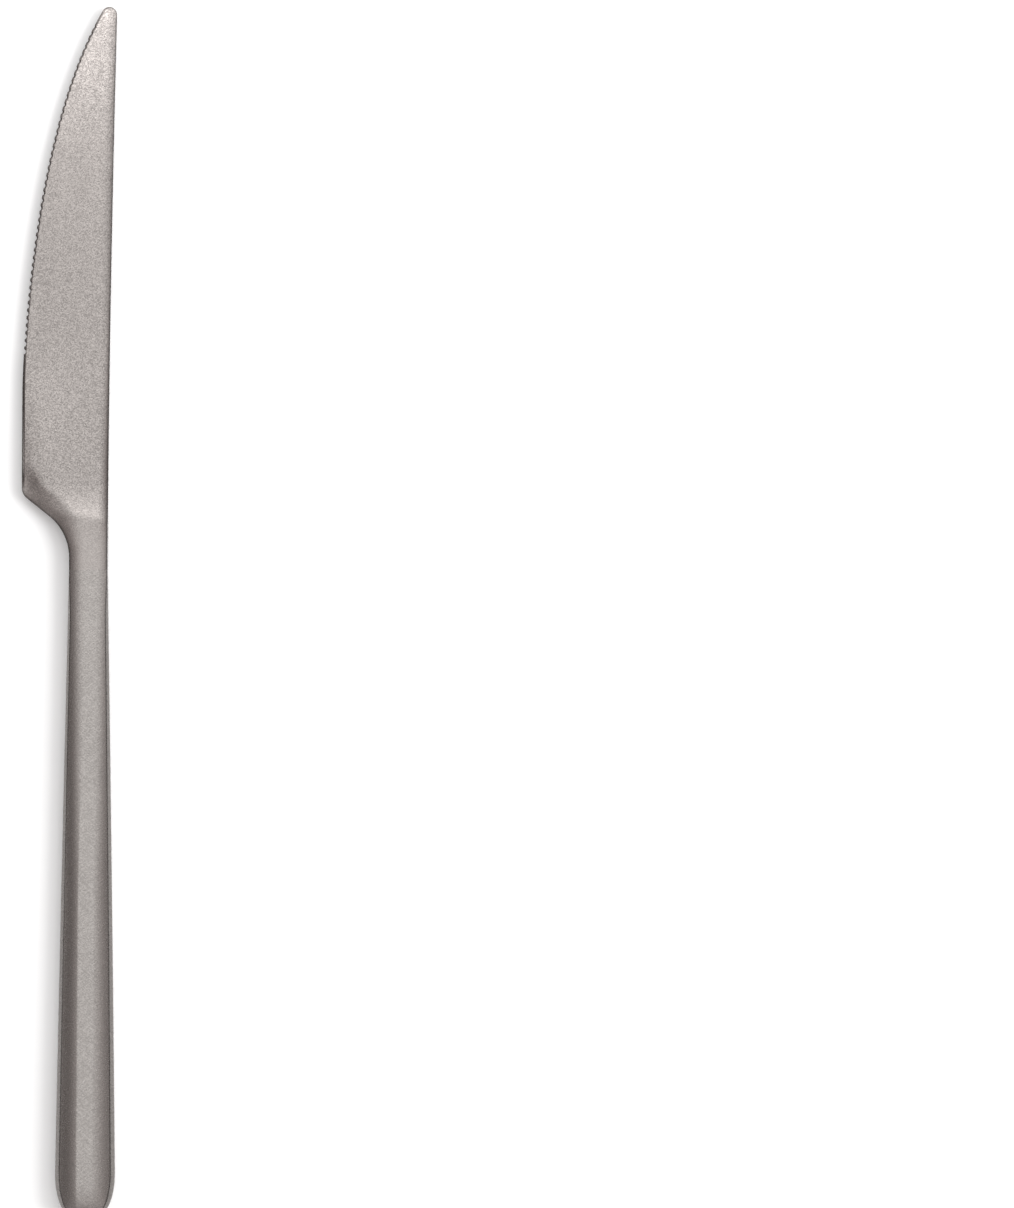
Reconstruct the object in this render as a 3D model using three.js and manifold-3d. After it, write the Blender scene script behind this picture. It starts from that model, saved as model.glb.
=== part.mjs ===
// Fruit knife: a serrated steel blade whose tang is cemented into a hollow handle of two brazed half shells.
// Sizes are in millimetres. The knife is drawn with +Y along the handle's axis towards the tip, the cutting
// edge towards -X, its middle plane at z = 0 and the joint of blade and handle at y = 0. It is then laid down
// on the lower flat of its handle, with the origin at the middle of that flat and +Z up.
import * as THREE from "three";
import { mergeVertices } from "three/addons/utils/BufferGeometryUtils.js";
import Module from "manifold-3d";

const wasm = await Module();
wasm.setup();

// Handle
const handleLength = 112; // from the joint to the end of the butt
const neckWidth = 6.64;
const buttWidth = 10.4;
const handleSwell = 0.08; // of each side beyond a straight taper, in the middle of the handle
const neckThickness = 4.3;
const buttThickness = 6;
const facetWidthNeck = 0.5; // the level facet along the middle of each side, at the joint
const facetWidth = 2.5; // and where it has its full width
const facetReach = 55; // from the joint to there
const sideHeightNeck = 2.3; // the upright side below the flanks, at the same places
const sideHeight = 1.1;
const flankBendNeck = 0.94; // of the flanks, 1 where they round into the facet and 0 where they are straight
const flankBend = 0.45;
const chamferWidthNeck = 0.4; // of the chamfer between each flank and the side, near the joint
const chamferWidth = 0.7; // and at the butt
const chamferHeight = 0.45;
const chamferReach = 9; // from the joint to where the chamfer has come up fully
const buttCornerLength = 7.1; // the round of the butt's corners, along the handle and across it
const buttCornerWidth = 2.8;
const buttDomeLength = 6; // the fall of the butt's faces towards its end, along the handle and in height
const buttDomeDrop = 1.3;
const wall = 0.5; // of the half shells
const seam = 0.1; // thickness of the braze between the half shells and at the neck
const fitGap = 0.15; // left round the hardened cement

// Blade outline, seen from above
const tipReach = 98; // from the joint
const tipRadius = 1.35;
const tipAngle = 30; // degrees between the axis and the cutting edge where the round of the tip begins
const tipPull = 24.9; // how far the belly keeps close to that direction
const spineRise = 1.1; // of the spine on its way from the neck to the tip
const spineBend = 45; // from the joint to the middle of the spine's bend
const edgeOffset = 11.68; // from the axis to the straight part of the cutting edge
const bellyStart = 30.8; // from the joint to the end of the straight edge
const bellyPull = 5; // how far the belly keeps close to the straight edge
const heelReach = 13.1; // from the joint to the heel's corner, before it is rounded
const heelRadius = 2.3;
const heelSlant = 38.3; // degrees between the heel's end and a square cut
const neckFillet = 9.2; // radius between the heel's end and the neck

// Blade thickness and grind
const spineThicknessHeel = 2.5;
const spineThicknessTip = 1.3;
const spineCorner = 2.3; // width of the round between the face and the spine's back
const spineDropHeel = 0.95; // fall of that round on each side
const spineDropTip = 0.55;
const grindThicknessHeel = 0.9; // where the grind meets the edge bevel, at the blunt heel
const grindThickness = 0.5; // and beyond the swell of the heel
const bevelWidth = 0.5;
const edgeThickness = 0.1;
const grindRadius = 24; // of the wheel's run-out from the blade's face up to the neck
const runOutPastHeel = 2.1; // from the heel's corner to where that run-out begins
const flankStart = 4; // from the joint to where the neck's flanks begin to change into the blade's
const heelFlank = 3.5; // width of the flank along the heel's end
const heelBend = 0.25; // of that flank
const heelSwell = 1.3; // of each face behind the edge, at the heel
const swellWidth = 6; // from the edge to where that swell is full
const swellReach = 42; // from the joint to where it has died out
const tipRollLength = 5; // along which the faces fall towards the end of the tip
const tipRollShare = 0.7; // of their height, lost on the way

// Serration
const plainEdge = 24.8; // from the heel's corner to the first scallop
const plainTip = 3.5; // from the last scallop to the end of the tip
const serrationPitch = 1.3;
const scallopDepth = 0.32; // of the first scallop
const scallopDepthTip = 0.14; // of the last one
const scallopRadius = 0.45;

// Tang
const tangLength = 62;
const tangRootWidth = 2.4;
const tangEndWidth = 2;
const cementLayer = 0.9; // left between the tang's faces and the shells at the handle's mouth, for cement
const notchRadius = 0.5;
const notchPlaces = [0.35, 0.65]; // along the tang

// Fineness of the curved surfaces
const scallopSides = 12;
const notchSteps = 4;
const flankSteps = 6;
const flankCrowding = 1.5; // how much closer the steps are at a flank's foot
const gridColumns = 7;
const curveDivisions = 24;
const edgeSamples = 500; // along the cutting edge, to find where the serration starts and ends
const leastChamfer = 0.1; // share of the chamfer that is there at the joint
const leastSide = 0.1; // share of a low side that the chamfer leaves
const narrowShare = 0.3; // the most of a narrow section that a bevel or a rolled corner takes up

const { degToRad, lerp, clamp, smoothstep } = THREE.MathUtils;
const neckHalf = neckWidth / 2;
const buttHalf = buttWidth / 2;
const seamHalf = seam / 2;
const neckFlank = neckHalf - facetWidthNeck / 2;
const neckDrop = (neckThickness - sideHeightNeck) / 2;
const mouth = -seam; // the handle begins behind the braze at the neck
const straightLength = handleLength - buttCornerLength;
const taper = (buttThickness - neckThickness) / 2 / straightLength;
const grindReach = heelReach + runOutPastHeel;
const heelTurn = Math.PI / 2 - degToRad(heelSlant);
const edgeStart = heelReach + heelRadius * Math.tan(heelTurn / 2);
const tipX = neckHalf + spineRise;
const tipCentre = new THREE.Vector2(tipX - tipRadius, tipReach - tipRadius);

const steel = { color: 0xb8b1ad, roughness: 0.38, metalness: 1 };
const materials = {
  blade: new THREE.MeshStandardMaterial(steel),
  shell: new THREE.MeshStandardMaterial({ ...steel, color: 0xaaa5a1 }),
  braze: new THREE.MeshStandardMaterial({ ...steel, color: 0x9b9793, roughness: 0.45 }),
  cement: new THREE.MeshStandardMaterial({ color: 0x8d8878, roughness: 0.9, metalness: 0 }),
};

/** A closed solid from a geometry whose faces all point out. */
function solidOf(geometry) {
  const bare = geometry.clone();
  bare.deleteAttribute("normal");
  bare.deleteAttribute("uv");
  const merged = mergeVertices(bare);
  return new wasm.Manifold(
    new wasm.Mesh({
      numProp: 3,
      vertProperties: merged.attributes.position.array,
      triVerts: new Uint32Array(merged.index.array),
    }),
  );
}

/** The geometry of a solid that has been cut or joined. */
function geometryOf(solid) {
  const { vertProperties, triVerts } = solid.getMesh();
  const geometry = new THREE.BufferGeometry();
  geometry.setAttribute("position", new THREE.BufferAttribute(vertProperties, 3));
  geometry.setIndex(new THREE.BufferAttribute(triVerts, 1));
  geometry.computeVertexNormals();
  return geometry;
}

/** A closed skin over sections { y, points }, listed towards +Y, whose (x, z) points run clockwise. */
function skin(sections) {
  const count = sections[0].points.length;
  const position = sections.flatMap(({ y, points }) => points.flatMap((p) => [p.x, y, p.y]));
  const index = [];
  for (let row = 0; row + 1 < sections.length; row += 1) {
    for (let i = 0; i < count; i += 1) {
      const a = row * count + i;
      const b = row * count + ((i + 1) % count);
      index.push(a, b, a + count, b, b + count, a + count);
    }
  }
  // Both ends are convex, so triangles round their middle close them.
  const closeEnd = ({ y, points }, first, turn) => {
    const middle = points.reduce((sum, p) => sum.add(p), new THREE.Vector2()).divideScalar(count);
    const centre = position.push(middle.x, y, middle.y) / 3 - 1;
    for (let i = 0; i < count; i += 1) {
      const [a, b] = [first + i, first + ((i + 1) % count)];
      index.push(centre, ...(turn ? [b, a] : [a, b]));
    }
  };
  closeEnd(sections[0], 0, true);
  closeEnd(sections.at(-1), (sections.length - 1) * count, false);
  const geometry = new THREE.BufferGeometry();
  geometry.setAttribute("position", new THREE.Float32BufferAttribute(position, 3));
  geometry.setIndex(index);
  return geometry;
}

/** Evenly stepped values from one end to just short of the other. */
function steps(from, to, count) {
  return Array.from({ length: count }, (_, i) => lerp(from, to, i / count));
}

/** Height of a flank, 0 at its foot and 1 at its top; bent fully, it is level there. */
function flankRise(share, bend) {
  const limited = clamp(share, 0, 1);
  return limited * (1 + bend * (1 - limited));
}

const flankShares = Array.from({ length: flankSteps + 1 }, (_, i) => (i / flankSteps) ** flankCrowding);

/** Drop of a rounded end at a given distance from it. */
function endDrop(distance, length, drop) {
  const share = clamp(1 - distance / length, 0, 1);
  return drop * (1 - Math.sqrt(1 - share * share));
}

/** Half the handle's width at y before the butt is rounded. */
function uncutHalfWidth(y) {
  const share = clamp(-y / straightLength, 0, 1);
  return lerp(neckHalf, buttHalf, share) + 4 * handleSwell * share * (1 - share);
}

/** Half the handle's width at y, drawn in all round by an inset. */
function handleHalfWidth(y, inset) {
  return uncutHalfWidth(y) - inset - endDrop(y + handleLength, buttCornerLength, buttCornerWidth);
}

/** Half the handle's thickness at y, drawn in all round by an inset. */
function handleHalfThickness(y, inset) {
  const uncut = neckThickness / 2 - taper * y;
  return uncut - inset - endDrop(y + handleLength, buttDomeLength, buttDomeDrop);
}

/** The upper half of the handle's section at y, from the left rim to the right one. */
function upperSection(y, inset) {
  const share = clamp(-y / facetReach, 0, 1);
  const full = uncutHalfWidth(y) - inset;
  const half = handleHalfWidth(y, inset);
  const flat = lerp(facetWidthNeck, facetWidth, share) / 2;
  const top = handleHalfThickness(y, inset);
  const foot = (lerp(sideHeightNeck, sideHeight, share) - inset) / 2;
  const bend = lerp(flankBendNeck, flankBend, share);
  const trimmed = (full - half) / (full - flat); // share of the flank that the butt's round takes away
  const flankAt = (place) =>
    new THREE.Vector2(place * (full - flat) - full, lerp(foot, top, flankRise(place, bend)));
  const grown = lerp(leastChamfer, 1, smoothstep(-y, 0, chamferReach));
  const chamfer = grown * lerp(chamferWidthNeck, chamferWidth, clamp(-y / straightLength, 0, 1));
  const corner = flankAt(trimmed).y;
  const below = corner - grown * Math.min(chamferHeight, (1 - leastSide) * (corner - seamHalf));
  const side = [seamHalf, below].map((z) => new THREE.Vector2(-half, z));
  const start = trimmed + chamfer / (full - flat);
  const left = [...side, ...flankShares.map((step) => flankAt(lerp(start, 1, step)))];
  const right = left.map((p) => new THREE.Vector2(-p.x, p.y)).reverse();
  return [...left, ...right];
}

/** Places along the handle, from its inset butt to its mouth. */
function handlePlaces(inset) {
  const end = inset - handleLength;
  const cornerSteps = 9;
  const straightSteps = 10;
  const cornerLength = buttCornerLength - inset;
  const angles = steps(0, Math.PI / 2, cornerSteps);
  const corner = angles.map((angle) => end + cornerLength * (1 - Math.cos(angle)));
  return [...corner, ...steps(-straightLength, mouth, straightSteps), mouth];
}

/** A pressed half of the handle, open below and at its mouth. */
function shellGeometry() {
  const overcut = 1;
  const outside = handlePlaces(0).map((y) => ({ y, points: upperSection(y, 0) }));
  const inside = [...handlePlaces(wall), overcut].map((y) => {
    const points = upperSection(y, wall);
    const below = [points.at(-1), points[0]].map((p) => new THREE.Vector2(p.x, p.y - overcut));
    return { y, points: [...points, ...below] };
  });
  return geometryOf(solidOf(skin(outside)).subtract(solidOf(skin(inside))));
}

/** The braze between the half shells: a thin U along both rims and round the butt. */
function seamGeometry() {
  const side = (inset, sign) =>
    handlePlaces(inset).map((y) => new THREE.Vector2(sign * handleHalfWidth(y, inset), y));
  const outer = [...side(0, -1).reverse(), ...side(0, 1)];
  const inner = [...side(wall, 1).reverse(), ...side(wall, -1)];
  const strip = new THREE.Shape([...outer, ...inner]);
  return new THREE.ExtrudeGeometry(strip, { depth: seam, bevelEnabled: false }).translate(0, 0, -seamHalf);
}

/** The whole outline of the handle's section at y. */
function wholeSection(y, inset) {
  const upper = upperSection(y, inset);
  const lower = upper.map((p) => new THREE.Vector2(p.x, -p.y)).reverse();
  return [...upper, ...lower];
}

/** The braze between the handle's mouth and the shoulder of the neck. */
function ringGeometry() {
  const ring = new THREE.Shape(wholeSection(0, 0));
  ring.holes.push(new THREE.Path(wholeSection(mouth, wall).reverse()));
  return new THREE.ExtrudeGeometry(ring, { depth: seam, bevelEnabled: false }).rotateX(Math.PI / 2);
}

/** The tang, made larger all round by an allowance, from inside the neck to its end in the handle. */
function tangGeometry(allowance) {
  const halfThickness = neckThickness / 2 - wall - cementLayer + allowance;
  const rootHalf = tangRootWidth / 2 + allowance;
  const endHalf = tangEndWidth / 2 + allowance;
  const end = -tangLength - allowance;
  const root = neckFlank; // sunk into the neck by as much as the neck's flank is wide
  const halfAt = (y) => lerp(rootHalf, endHalf, clamp(y / end, 0, 1));
  const radius = notchRadius - allowance;
  const places = notchPlaces.map((share) => -share * tangLength);
  const quarter = Math.PI / 2;
  const outline = new THREE.Shape();
  outline.moveTo(rootHalf, root);
  outline.lineTo(-rootHalf, root);
  for (const y of places) {
    outline.absarc(-halfAt(y), y, radius, quarter, -quarter, true);
  }
  outline.lineTo(-endHalf, end);
  outline.lineTo(endHalf, end);
  for (const y of places.toReversed()) {
    outline.absarc(halfAt(y), y, radius, -quarter, quarter, true);
  }
  const options = { depth: 2 * halfThickness, bevelEnabled: false, curveSegments: notchSteps };
  return new THREE.ExtrudeGeometry(outline, options).translate(0, 0, -halfThickness);
}

/** The cement that fills the handle round the tang. */
function cementGeometry() {
  const inset = wall + fitGap;
  const filling = handlePlaces(inset).map((y) => ({ y, points: wholeSection(y, inset) }));
  return geometryOf(solidOf(skin(filling)).subtract(solidOf(tangGeometry(fitGap))));
}

/** The cutting edge from above: straight, then the belly, then the round of the tip. */
function edgePath() {
  const angle = degToRad(tipAngle);
  const along = new THREE.Vector2(Math.sin(angle), Math.cos(angle));
  const touch = tipCentre.clone().addScaledVector(new THREE.Vector2(-along.y, along.x), tipRadius);
  const pull = touch.clone().addScaledVector(along, -tipPull);
  return new THREE.Path()
    .moveTo(-edgeOffset, edgeStart)
    .lineTo(-edgeOffset, bellyStart)
    .bezierCurveTo(-edgeOffset, bellyStart + bellyPull, pull.x, pull.y, touch.x, touch.y)
    .absarc(tipCentre.x, tipCentre.y, tipRadius, Math.PI - angle, Math.PI / 2, true);
}

/** The spine from above, from the neck to the top of the tip. */
function spinePath() {
  return new THREE.Path()
    .moveTo(neckHalf, 0)
    .quadraticCurveTo(neckHalf, spineBend, tipX, tipCentre.y)
    .absarc(tipCentre.x, tipCentre.y, tipRadius, 0, Math.PI / 2, false);
}

/** The neck's left side, its fillet, the slanted heel and the rounded corner where the edge begins. */
function heelPath() {
  const meet = heelReach - Math.tan(degToRad(heelSlant)) * (edgeOffset - neckHalf);
  const filletFoot = meet - neckFillet * Math.tan(heelTurn / 2);
  return new THREE.Path()
    .moveTo(-neckHalf, 0)
    .lineTo(-neckHalf, filletFoot)
    .absarc(-neckHalf - neckFillet, filletFoot, neckFillet, 0, heelTurn, false)
    .absarc(heelRadius - edgeOffset, edgeStart, heelRadius, Math.PI + heelTurn, Math.PI, true);
}

const edgePoints = edgePath().getPoints(curveDivisions);
const spinePoints = spinePath().getPoints(curveDivisions);
const heelPoints = heelPath().getPoints(curveDivisions);

/** Where a line of points that climbs along Y passes y. */
function acrossAt(points, y) {
  const above = Math.max(1, points.findIndex((p) => p.y >= y));
  const [a, b] = [points[above - 1], points[above]];
  return lerp(a.x, b.x, clamp((y - a.y) / (b.y - a.y || 1), 0, 1));
}

/** The left outline of the blade and neck. */
function leftAt(y) {
  return y < edgeStart ? acrossAt(heelPoints, y) : acrossAt(edgePoints, y);
}

/** Shortest distance from a place to a line of points. */
function distanceTo(points, x, y) {
  const place = new THREE.Vector3(x, y, 0);
  const corners = points.map((p) => new THREE.Vector3(p.x, p.y, 0));
  const gaps = corners.slice(1).map((end, i) => {
    const segment = new THREE.Line3(corners[i], end);
    return segment.closestPointToPoint(place, true, new THREE.Vector3()).distanceTo(place);
  });
  return Math.min(...gaps);
}

/** How far the neck has changed into the blade at y. */
function bladeShareAt(y) {
  return smoothstep(y, flankStart, heelReach);
}

/** Half the thickness of the ground blade, with the wheel's run-out towards the neck. */
function groundHalfThickness(toEdge, toSpine, y) {
  const across = toEdge / (toEdge + toSpine || 1);
  const spine = lerp(spineThicknessHeel, spineThicknessTip, y / tipReach);
  const pastSwell = smoothstep(y, heelReach, swellReach);
  const swelling = heelSwell * (1 - pastSwell) * (flankRise(toEdge / swellWidth, 1) - across);
  const grind = lerp(grindThicknessHeel, grindThickness, pastSwell);
  const face = lerp(grind, spine, across) / 2 + swelling;
  const roll = tipRollShare * clamp((y - tipReach) / tipRollLength + 1, 0, 1) ** 2;
  const ground = lerp(edgeThickness / 2, face, Math.min(1, toEdge / bevelWidth) * (1 - roll));
  return ground + Math.max(0, grindReach - y) ** 2 / (2 * grindRadius);
}

/** Half the forging's thickness: the neck or the ground blade, with flanks along the heel and the spine. */
function forgingHalfThickness(x, y) {
  const onBlade = bladeShareAt(y);
  const toHeel = distanceTo(heelPoints, x, y);
  const toEdge = distanceTo(edgePoints, x, y);
  const toSpine = distanceTo(spinePoints, x, y);
  const body = Math.min(neckThickness / 2 - taper * y, groundHalfThickness(toEdge, toSpine, y));
  const drop = lerp(neckDrop, lerp(spineDropHeel, spineDropTip, y / tipReach), onBlade);
  const back = Math.max(body - drop, edgeThickness / 2);
  const corner = lerp(neckFlank, spineCorner, onBlade);
  const rolled = lerp(back, body, flankRise(toSpine / corner, lerp(flankBendNeck, 1, onBlade)));
  const leftFoot = lerp(sideHeightNeck, edgeThickness, onBlade) / 2;
  const flank = lerp(neckFlank, heelFlank, onBlade);
  return lerp(leftFoot, rolled, flankRise(toHeel / flank, lerp(flankBendNeck, heelBend, onBlade)));
}

/** Places across the blade or neck at y, from the left outline to the spine. */
function bladeColumns(y) {
  const [left, right] = [leftAt(y), acrossAt(spinePoints, y)];
  const width = right - left;
  const bladeShare = bladeShareAt(y);
  const bevel = Math.min(bevelWidth, narrowShare * width);
  const corner = lerp(neckFlank, Math.min(spineCorner, narrowShare * width), bladeShare);
  const fromLeft = flankShares.map((share, i) => {
    const onBlade = i === 0 ? 0 : lerp(bevel, width - corner, (i - 1) / gridColumns);
    return left + lerp(share * neckFlank, onBlade, bladeShare);
  });
  const fromRight = flankShares.map((share) => right - share * corner).reverse();
  return [...fromLeft, ...fromRight];
}

/** A section of the forging at y. */
function bladeSection(y) {
  const upper = bladeColumns(y).map((x) => new THREE.Vector2(x, forgingHalfThickness(x, y)));
  const lower = upper.map((p) => new THREE.Vector2(p.x, -p.y)).reverse();
  return { y, points: [...upper, ...lower] };
}

/** Places along the blade, close together where its outline turns or its thickness changes. */
function bladePlaces() {
  const neckSteps = 18;
  const runOutSteps = 12;
  const straightSteps = 3;
  const bellySteps = 20;
  const tipSteps = 9;
  const runOut = Math.max(grindReach, edgeStart);
  const tip = steps(0, Math.PI / 2, tipSteps);
  return [
    ...steps(0, heelReach, neckSteps),
    ...steps(heelReach, runOut + heelRadius, runOutSteps),
    ...steps(runOut + heelRadius, bellyStart, straightSteps),
    ...steps(bellyStart, tipCentre.y, bellySteps),
    ...tip.map((angle) => tipCentre.y + tipRadius * Math.sin(angle)),
  ];
}

/** One scallop's cutter for each gap between teeth, spaced along the curve of the edge. */
function scallops() {
  const path = edgePath();
  const length = path.getLength();
  const samples = path.getSpacedPoints(edgeSamples);
  const shareAt = (y) => samples.findIndex((p) => p.y >= y) / edgeSamples;
  const [first, last] = [shareAt(heelReach + plainEdge), shareAt(tipReach - plainTip)];
  const count = Math.round(((last - first) * length) / serrationPitch);
  const height = 2 * spineThicknessHeel;
  return Array.from({ length: count }, (_, i) => {
    const share = lerp(first, last, i / (count - 1));
    const depth = lerp(scallopDepth, scallopDepthTip, i / (count - 1));
    const along = path.getTangent(share);
    const out = new THREE.Vector2(-along.y, along.x).multiplyScalar(scallopRadius - depth);
    const centre = path.getPoint(share).add(out);
    const cutter = new THREE.CylinderGeometry(scallopRadius, scallopRadius, height, scallopSides);
    return solidOf(cutter.rotateX(Math.PI / 2).translate(centre.x, centre.y, 0));
  });
}

/** The blade forging: ground and serrated blade, heel, neck and tang. */
function bladeGeometry() {
  const forging = solidOf(skin(bladePlaces().map(bladeSection))).add(solidOf(tangGeometry(0)));
  return geometryOf(scallops().reduce((blade, cutter) => blade.subtract(cutter), forging));
}

/** A named piece of the knife. */
function piece(name, geometry, material) {
  const mesh = new THREE.Mesh(geometry, material.clone());
  mesh.name = name;
  return mesh;
}

/** The two halves of the handle, one pressing used twice. */
function handleShells() {
  const pressing = shellGeometry();
  const upper = piece("handle_shell_upper", pressing, materials.shell);
  const lower = piece("handle_shell_lower", pressing, materials.shell);
  lower.rotation.y = Math.PI;
  return [upper, lower];
}

const knife = new THREE.Group();
knife.add(
  piece("blade", bladeGeometry(), materials.blade),
  ...handleShells(),
  piece("seam_braze", seamGeometry(), materials.braze),
  piece("neck_braze_ring", ringGeometry(), materials.braze),
  piece("tang_cement", cementGeometry(), materials.cement),
);

// Laid on the lower flat: the taper of the handle tilts the blade a little towards the table.
const restTilt = -Math.atan(taper);
const restPlace = (mouth + buttDomeLength - handleLength) / 2;
const restPoint = new THREE.Vector3(0, restPlace, taper * restPlace - neckThickness / 2);
knife.rotation.x = restTilt;
knife.position.copy(restPoint).applyEuler(knife.rotation).negate();

const part = new THREE.Group();
part.name = "fruit_knife";
part.add(knife);

export default part;
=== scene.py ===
"""A fruit knife of satin steel on a white table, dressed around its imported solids."""

import math

import bmesh
import bpy
import numpy as np
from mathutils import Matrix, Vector

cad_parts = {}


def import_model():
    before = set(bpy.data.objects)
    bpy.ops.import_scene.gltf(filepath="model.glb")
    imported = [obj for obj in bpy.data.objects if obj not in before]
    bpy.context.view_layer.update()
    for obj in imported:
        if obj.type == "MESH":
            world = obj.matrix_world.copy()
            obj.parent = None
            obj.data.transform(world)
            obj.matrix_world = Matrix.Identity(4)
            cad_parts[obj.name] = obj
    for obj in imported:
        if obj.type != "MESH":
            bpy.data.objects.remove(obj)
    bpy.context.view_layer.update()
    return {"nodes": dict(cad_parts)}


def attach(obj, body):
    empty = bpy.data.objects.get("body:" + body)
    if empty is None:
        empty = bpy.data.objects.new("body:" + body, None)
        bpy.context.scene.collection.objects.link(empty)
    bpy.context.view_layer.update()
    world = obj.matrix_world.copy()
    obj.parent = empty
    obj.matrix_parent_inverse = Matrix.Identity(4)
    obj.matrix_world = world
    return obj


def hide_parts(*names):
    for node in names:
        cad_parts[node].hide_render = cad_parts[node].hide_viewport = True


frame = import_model()

# Sizes of the knife in millimetres, as its solids have them. The knife is drawn with +Y along the handle's
# axis towards the tip, the cutting edge towards -X, its middle plane at z = 0 and the joint of blade and
# handle at y = 0.

# Handle
HANDLE_LENGTH = 112  # from the joint to the end of the butt
NECK_HALF = 3.32  # half the width at the joint and at the butt
BUTT_HALF = 5.2
HANDLE_SWELL = 0.08  # of each side beyond a straight taper, in the middle of the handle
NECK_THICKNESS = 4.3
BUTT_THICKNESS = 6
FACET_REACH = 55  # from the joint to where the facet along the middle has its full width
FACET_HALF = (0.25, 1.25)  # half the facet's width at the joint and from there on
SIDE_HALF = (1.15, 0.55)  # half the height of the upright side below the flank, at the same places
FLANK_BEND = (0.94, 0.45)  # of the flank, 1 where it rounds into the facet and 0 where it is straight
CHAMFER_WIDTH = (0.4, 0.7)  # between the flank and the side, at the joint and at the butt
CHAMFER_HEIGHT = 0.45
CHAMFER_DOME = 0.3  # 0 for a flat chamfer, 1 for a full round
CHAMFER_REACH = 9  # from the joint to where the chamfer has come up fully
LEAST_CHAMFER = 0.1  # share of the chamfer that is there at the joint
LEAST_SIDE = 0.1  # share of a low side that the chamfer leaves
BUTT_CORNER = (7.1, 2.8)  # length along the handle and width across it
BUTT_DOME = (6, 1.3)  # length along the handle and drop in height
WALL = 0.5
SEAM_HALF = 0.05

# Blade outline, seen from above
TIP_REACH = 98  # from the joint
TIP_RADIUS = 1.35
TIP_ANGLE = math.radians(30)  # between the axis and the cutting edge where the round of the tip begins
TIP_PULL = 24.9  # how far the belly keeps close to that direction
SPINE_RISE = 1.1  # of the spine on its way from the neck to the tip
SPINE_BEND = 45  # from the joint to the middle of the spine's bend
EDGE_OFFSET = 11.68  # from the axis to the straight part of the cutting edge
BELLY_START = 30.8  # from the joint to the end of the straight edge
BELLY_PULL = 5  # how far the belly keeps close to the straight edge
HEEL_REACH = 13.1  # from the joint to the heel's corner, before it is rounded
HEEL_RADIUS = 2.3
HEEL_SLANT = math.radians(38.3)  # between the heel's end and a square cut
NECK_FILLET = 9.2  # radius between the heel's end and the neck

# Blade thickness and grind
SPINE_HALF = (1.25, 0.65)  # half the thickness next to the spine, at the joint and at the tip
SPINE_DROP = (0.95, 0.55)  # of the round between the face and the spine's back, at the same places
SPINE_CORNER = 2.3  # width of that round
GRIND_HALF = (0.45, 0.25)  # half the thickness inside the bevel, at the heel and past its swell
BEVEL = 0.5  # width of the bevel along the cutting edge
EDGE_HALF = 0.05
GRIND_RADIUS = 24  # of the run-out between the ground face and the neck
RUN_OUT_PAST_HEEL = 2.1  # from the heel's corner to where the run-out begins
RUN_OUT_BLEND = 0.15  # height over which it rounds into the neck
HEEL_START = 4  # from the joint to where the neck's flanks begin to change into the blade's
HEEL_FLANK = 3.5  # width of the flank along the heel's end
HEEL_BEND = 0.25  # of that flank
HEEL_SWELL = 1.3  # of the face behind the edge, at the heel
SWELL_WIDTH = 6  # from the edge to where that swell is full
SWELL_REACH = 42  # from the joint to where it has died out
TIP_ROLL = (5, 0.7)  # length of the faces' fall at the tip, and the share of their height lost

# Serration
PLAIN_EDGE = 24.8  # from the heel's corner to the first scallop
PLAIN_TIP = 3.5  # from the last scallop to the end of the tip
SERRATION_PITCH = 1.3
SCALLOP_DEPTH = (0.32, 0.14)  # of the first scallop and of the last one
SCALLOP_RADIUS = 0.45

# Tang
TANG_LENGTH = 62
TANG_HALF = (1.2, 1)  # half the width at its root and at its end
CEMENT_LAYER = 0.9  # left between its faces and the shells at the handle's mouth
NOTCH_RADIUS = 0.5
NOTCH_PLACES = (0.35, 0.65)  # along the tang

# Derived
MM = 0.001
MOUTH = -2 * SEAM_HALF
NECK_FLANK = NECK_HALF - FACET_HALF[0]
NECK_DROP = NECK_THICKNESS / 2 - SIDE_HALF[0]
STRAIGHT_LENGTH = HANDLE_LENGTH - BUTT_CORNER[0]
TAPER = (BUTT_THICKNESS - NECK_THICKNESS) / 2 / STRAIGHT_LENGTH
TIP_X = NECK_HALF + SPINE_RISE
TIP_CENTRE = np.array([TIP_X - TIP_RADIUS, TIP_REACH - TIP_RADIUS])
GRIND_REACH = HEEL_REACH + RUN_OUT_PAST_HEEL
SERRATION_START = HEEL_REACH + PLAIN_EDGE
SERRATION_END = TIP_REACH - PLAIN_TIP
TANG_HALF_THICKNESS = NECK_THICKNESS / 2 - WALL - CEMENT_LAYER
REST_Y = (MOUTH + BUTT_DOME[0] - HANDLE_LENGTH) / 2  # of the middle of the flat that the knife rests on
REST_POINT = np.array([0, REST_Y, TAPER * REST_Y - NECK_THICKNESS / 2])
REST_TILT = -math.atan(TAPER)

# Fineness of the meshes
HEEL_POINTS = (8, 40, 12, 16)  # of the neck's side, the fillet, the slant and the heel's corner
EDGE_POINTS = (20, 120, 20)  # of the straight edge, the belly and the tip
SPINE_POINTS = (120, 30)  # of the spine and the tip
SPINE_SAMPLES = 4000  # along the spine, to find where the rows across the blade meet it
NOTCH_POINTS = 9
STRIP_SHARES = np.array([0, 0.06, 0.24, 0.55, 1])  # columns of the strip along the blade's outline
FACE_COLUMNS = 33  # across the blade's face, closer together towards both sides
BLADE_ZONES = [  # where a zone ends along Y, the distance between its rows, and edge points for each row
    (2, 0.5, 1),
    (HEEL_REACH - HEEL_RADIUS, 0.2, 1),
    (GRIND_REACH + 1, 0.12, 1),
    (SERRATION_START - SERRATION_PITCH, 1, 1),
    (SERRATION_END + SERRATION_PITCH, SERRATION_PITCH / 2, 6),
    (TIP_REACH, 0.1, 1),
]
BATCHES = 40  # in which the blade's thickness is worked out, to save memory
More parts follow.
